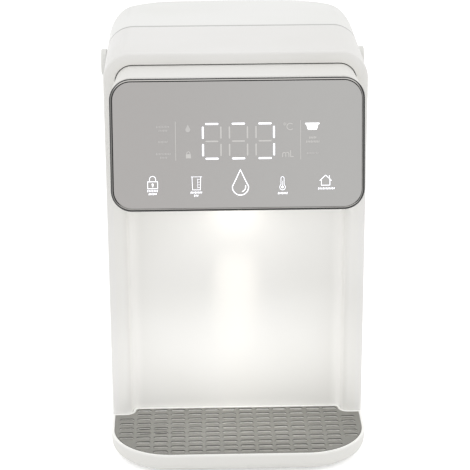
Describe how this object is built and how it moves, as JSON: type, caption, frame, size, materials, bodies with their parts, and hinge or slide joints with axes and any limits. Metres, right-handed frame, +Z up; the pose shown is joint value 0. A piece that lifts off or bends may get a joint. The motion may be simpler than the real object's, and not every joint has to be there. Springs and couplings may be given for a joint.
{
  "type": "hot water dispenser",
  "caption": "Countertop hot water dispenser: leaning touch panel over a cup bay with slotted drip tray, heater and pump column, lift-off rear tank with valve, lid and carry handle.",
  "frame": {"origin": "on the counter, under the middle of the whole outline", "axes": "+X to the object's right seen from the front, +Y from the front to the tank at the back, +Z up"},
  "size_m": [0.2008, 0.2552, 0.3],
  "materials": {
    "housing": "fine satin texture",
    "lid": "fine satin texture",
    "front_frame": "fine satin texture",
    "head": "fine satin texture",
    "tank": "frosted, lets light through",
    "bezel": "polished",
    "panel_glass": "grey mirror tint",
    "lamp_lens": "milky",
    "nozzle": "satin",
    "grille": "satin",
    "tray": "fine satin texture",
    "rubber": "matte",
    "seal": "soft silicone",
    "inner_plastic": "moulded",
    "dark_plastic": "moulded",
    "valve": "moulded",
    "spring": "drawn wire",
    "screw": "zinc plated",
    "steel": "drawn tube",
    "heater": "extruded",
    "brass": "turned",
    "motor": "drawn can",
    "board": "green laminate with parts",
    "light_box": "moulded, white",
    "ribbon": "flat cable",
    "hose": "silicone hose",
    "handle": "fine satin texture",
    "grip": "ribbed grip"
  },
  "bodies": {
    "body": {"housing_shell": "housing", "front_frame": "front_frame", "head_shell": "head", "head_underside": "head", "panel_bezel": "bezel", "display_panel": "panel_glass", "display_board": "board", "digit_light_box": "light_box", "touch_pads": "light_box", "display_cable": "ribbon", "lamp_lens": "lamp_lens", "lamp_board": "board", "spout_nozzle": "nozzle", "outlet_chamber": "inner_plastic", "bottom_plate": "dark_plastic", "rubber_feet": "rubber", "bottom_screws": "screw", "tank_dock": "housing", "dock_socket": "inner_plastic", "dock_seal": "seal", "rear_partition": "housing", "partition_screws": "screw", "pump_mount": "rubber", "pump_cover": "inner_plastic", "pump_housing": "inner_plastic", "pump_motor": "motor", "flow_meter_body": "inner_plastic", "flow_meter_axle": "steel", "heater_tube": "steel", "heater_core": "heater", "heater_lower_cap": "inner_plastic", "heater_upper_cap": "inner_plastic", "heater_brackets": "steel", "thermal_cutouts": "dark_plastic", "temperature_probe": "brass", "hose_tank_to_pump": "hose", "hose_pump_to_meter": "hose", "hose_meter_to_heater": "hose", "hose_heater_to_spout": "hose", "hose_clips": "steel", "power_board": "board", "control_board": "board", "inlet_gland": "rubber"},
    "tank": {"tank_shell": "tank", "valve_body": "valve", "valve_cap": "valve", "valve_spring": "spring", "handle_pins": "handle"},
    "lid": {"tank_lid": "lid"},
    "handle": {"tank_handle": "handle", "handle_grip": "grip"},
    "plunger": {"valve_plunger": "valve", "valve_seal": "seal"},
    "impeller": {"pump_impeller": "dark_plastic"},
    "rotor": {"flow_meter_rotor": "dark_plastic"},
    "tray": {"drip_tray": "tray", "tray_feet": "rubber"},
    "grille": {"drip_grille": "grille"}
  },
  "joints": [
    {"name": "tank_lift", "type": "slide", "parent": "body", "child": "tank", "axis": [0, 0, 1], "range_m": [0, 0.3]},
    {"name": "lid_lift", "type": "slide", "parent": "tank", "child": "lid", "axis": [0, 0, 1], "range_m": [0, 0.05]},
    {"name": "handle_swing", "type": "hinge", "parent": "tank", "child": "handle", "pos_m": [0, 0.03535, 0.27], "axis": [1, 0, 0], "range_deg": [0, 122.54]},
    {"name": "plunger_slide", "type": "slide", "parent": "tank", "child": "plunger", "axis": [0, 0, 1], "range_m": [-0.0029, 0], "deforming": ["valve_spring"]},
    {"name": "impeller_spin", "type": "hinge", "parent": "body", "child": "impeller", "pos_m": [0, -0.01065, 0.016], "axis": [0, 0, 1], "continuous": true},
    {"name": "rotor_spin", "type": "hinge", "parent": "body", "child": "rotor", "pos_m": [0.052, -0.02165, 0.04], "axis": [0, 0, 1], "continuous": true},
    {"name": "tray_slide", "type": "slide", "parent": "body", "child": "tray", "axis": [0, -1, 0], "range_m": [0, 0.1]},
    {"name": "grille_lift", "type": "slide", "parent": "tray", "child": "grille", "axis": [0, 0, 1], "range_m": [0, 0.04]}
  ],
  "couplings": [
    {"joint": "plunger_slide", "follows": "tank_lift", "ratio": -0.0096667}
  ]
}
